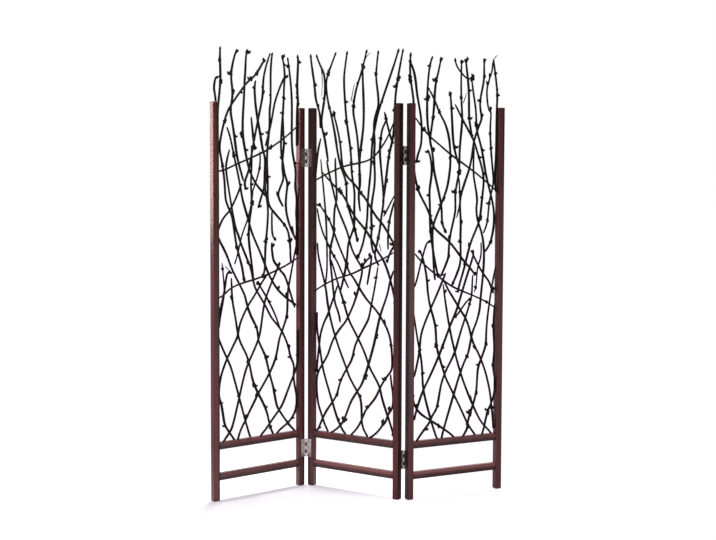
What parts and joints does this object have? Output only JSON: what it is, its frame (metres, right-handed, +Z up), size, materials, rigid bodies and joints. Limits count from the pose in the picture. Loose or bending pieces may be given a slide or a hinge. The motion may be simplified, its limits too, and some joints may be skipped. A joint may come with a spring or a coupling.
{
  "type": "folding screen",
  "caption": "Folding room screen: hinged wooden panels, each an open frame filled with crooked upright twigs that rise past the posts.",
  "frame": {"origin": "on the floor under the middle of the posts' footprint, with the screen standing folded as in the picture", "axes": "+Z up, +X to the viewer's right across the screen, +Y away from the viewer"},
  "size_m": [1.2028, 0.3066, 1.8341],
  "materials": {
    "stained_wood": "satin",
    "twig_bark": "matte",
    "dowel_wood": "matte",
    "hinge_metal": "satin"
  },
  "bodies": {
    "centre_panel": {"centre_left_post": "stained_wood", "centre_right_post": "stained_wood", "centre_upper_rail": "stained_wood", "centre_lower_rail": "stained_wood", "centre_rail_dowels": "dowel_wood", "centre_rising_twigs": "twig_bark", "centre_leaning_twigs": "twig_bark", "centre_crown_twigs": "twig_bark", "centre_binding_twigs": "twig_bark", "left_low_hinge_leaf": "hinge_metal", "left_low_hinge_pin": "hinge_metal", "left_low_leaf_screws": "hinge_metal", "left_high_hinge_leaf": "hinge_metal", "left_high_hinge_pin": "hinge_metal", "left_high_leaf_screws": "hinge_metal", "right_low_hinge_leaf": "hinge_metal", "right_low_hinge_pin": "hinge_metal", "right_low_leaf_screws": "hinge_metal", "right_high_hinge_leaf": "hinge_metal", "right_high_hinge_pin": "hinge_metal", "right_high_leaf_screws": "hinge_metal"},
    "left_panel": {"left_outer_post": "stained_wood", "left_inner_post": "stained_wood", "left_upper_rail": "stained_wood", "left_lower_rail": "stained_wood", "left_rail_dowels": "dowel_wood", "left_rising_twigs": "twig_bark", "left_leaning_twigs": "twig_bark", "left_crown_twigs": "twig_bark", "left_binding_twigs": "twig_bark", "left_low_hinge_mate": "hinge_metal", "left_low_mate_screws": "hinge_metal", "left_high_hinge_mate": "hinge_metal", "left_high_mate_screws": "hinge_metal"},
    "right_panel": {"right_inner_post": "stained_wood", "right_outer_post": "stained_wood", "right_upper_rail": "stained_wood", "right_lower_rail": "stained_wood", "right_rail_dowels": "dowel_wood", "right_rising_twigs": "twig_bark", "right_leaning_twigs": "twig_bark", "right_crown_twigs": "twig_bark", "right_binding_twigs": "twig_bark", "right_low_hinge_mate": "hinge_metal", "right_low_mate_screws": "hinge_metal", "right_high_hinge_mate": "hinge_metal", "right_high_mate_screws": "hinge_metal"}
  },
  "joints": [
    {"name": "left_fold", "type": "hinge", "parent": "centre_panel", "child": "left_panel", "pos_m": [-0.22679, 0.13201, 0], "axis": [0, 0, 1], "range_deg": [-73, 107]},
    {"name": "right_fold", "type": "hinge", "parent": "centre_panel", "child": "right_panel", "pos_m": [0.17656, -0.09977, 0], "axis": [0, 0, 1], "range_deg": [-60, 120]}
  ]
}
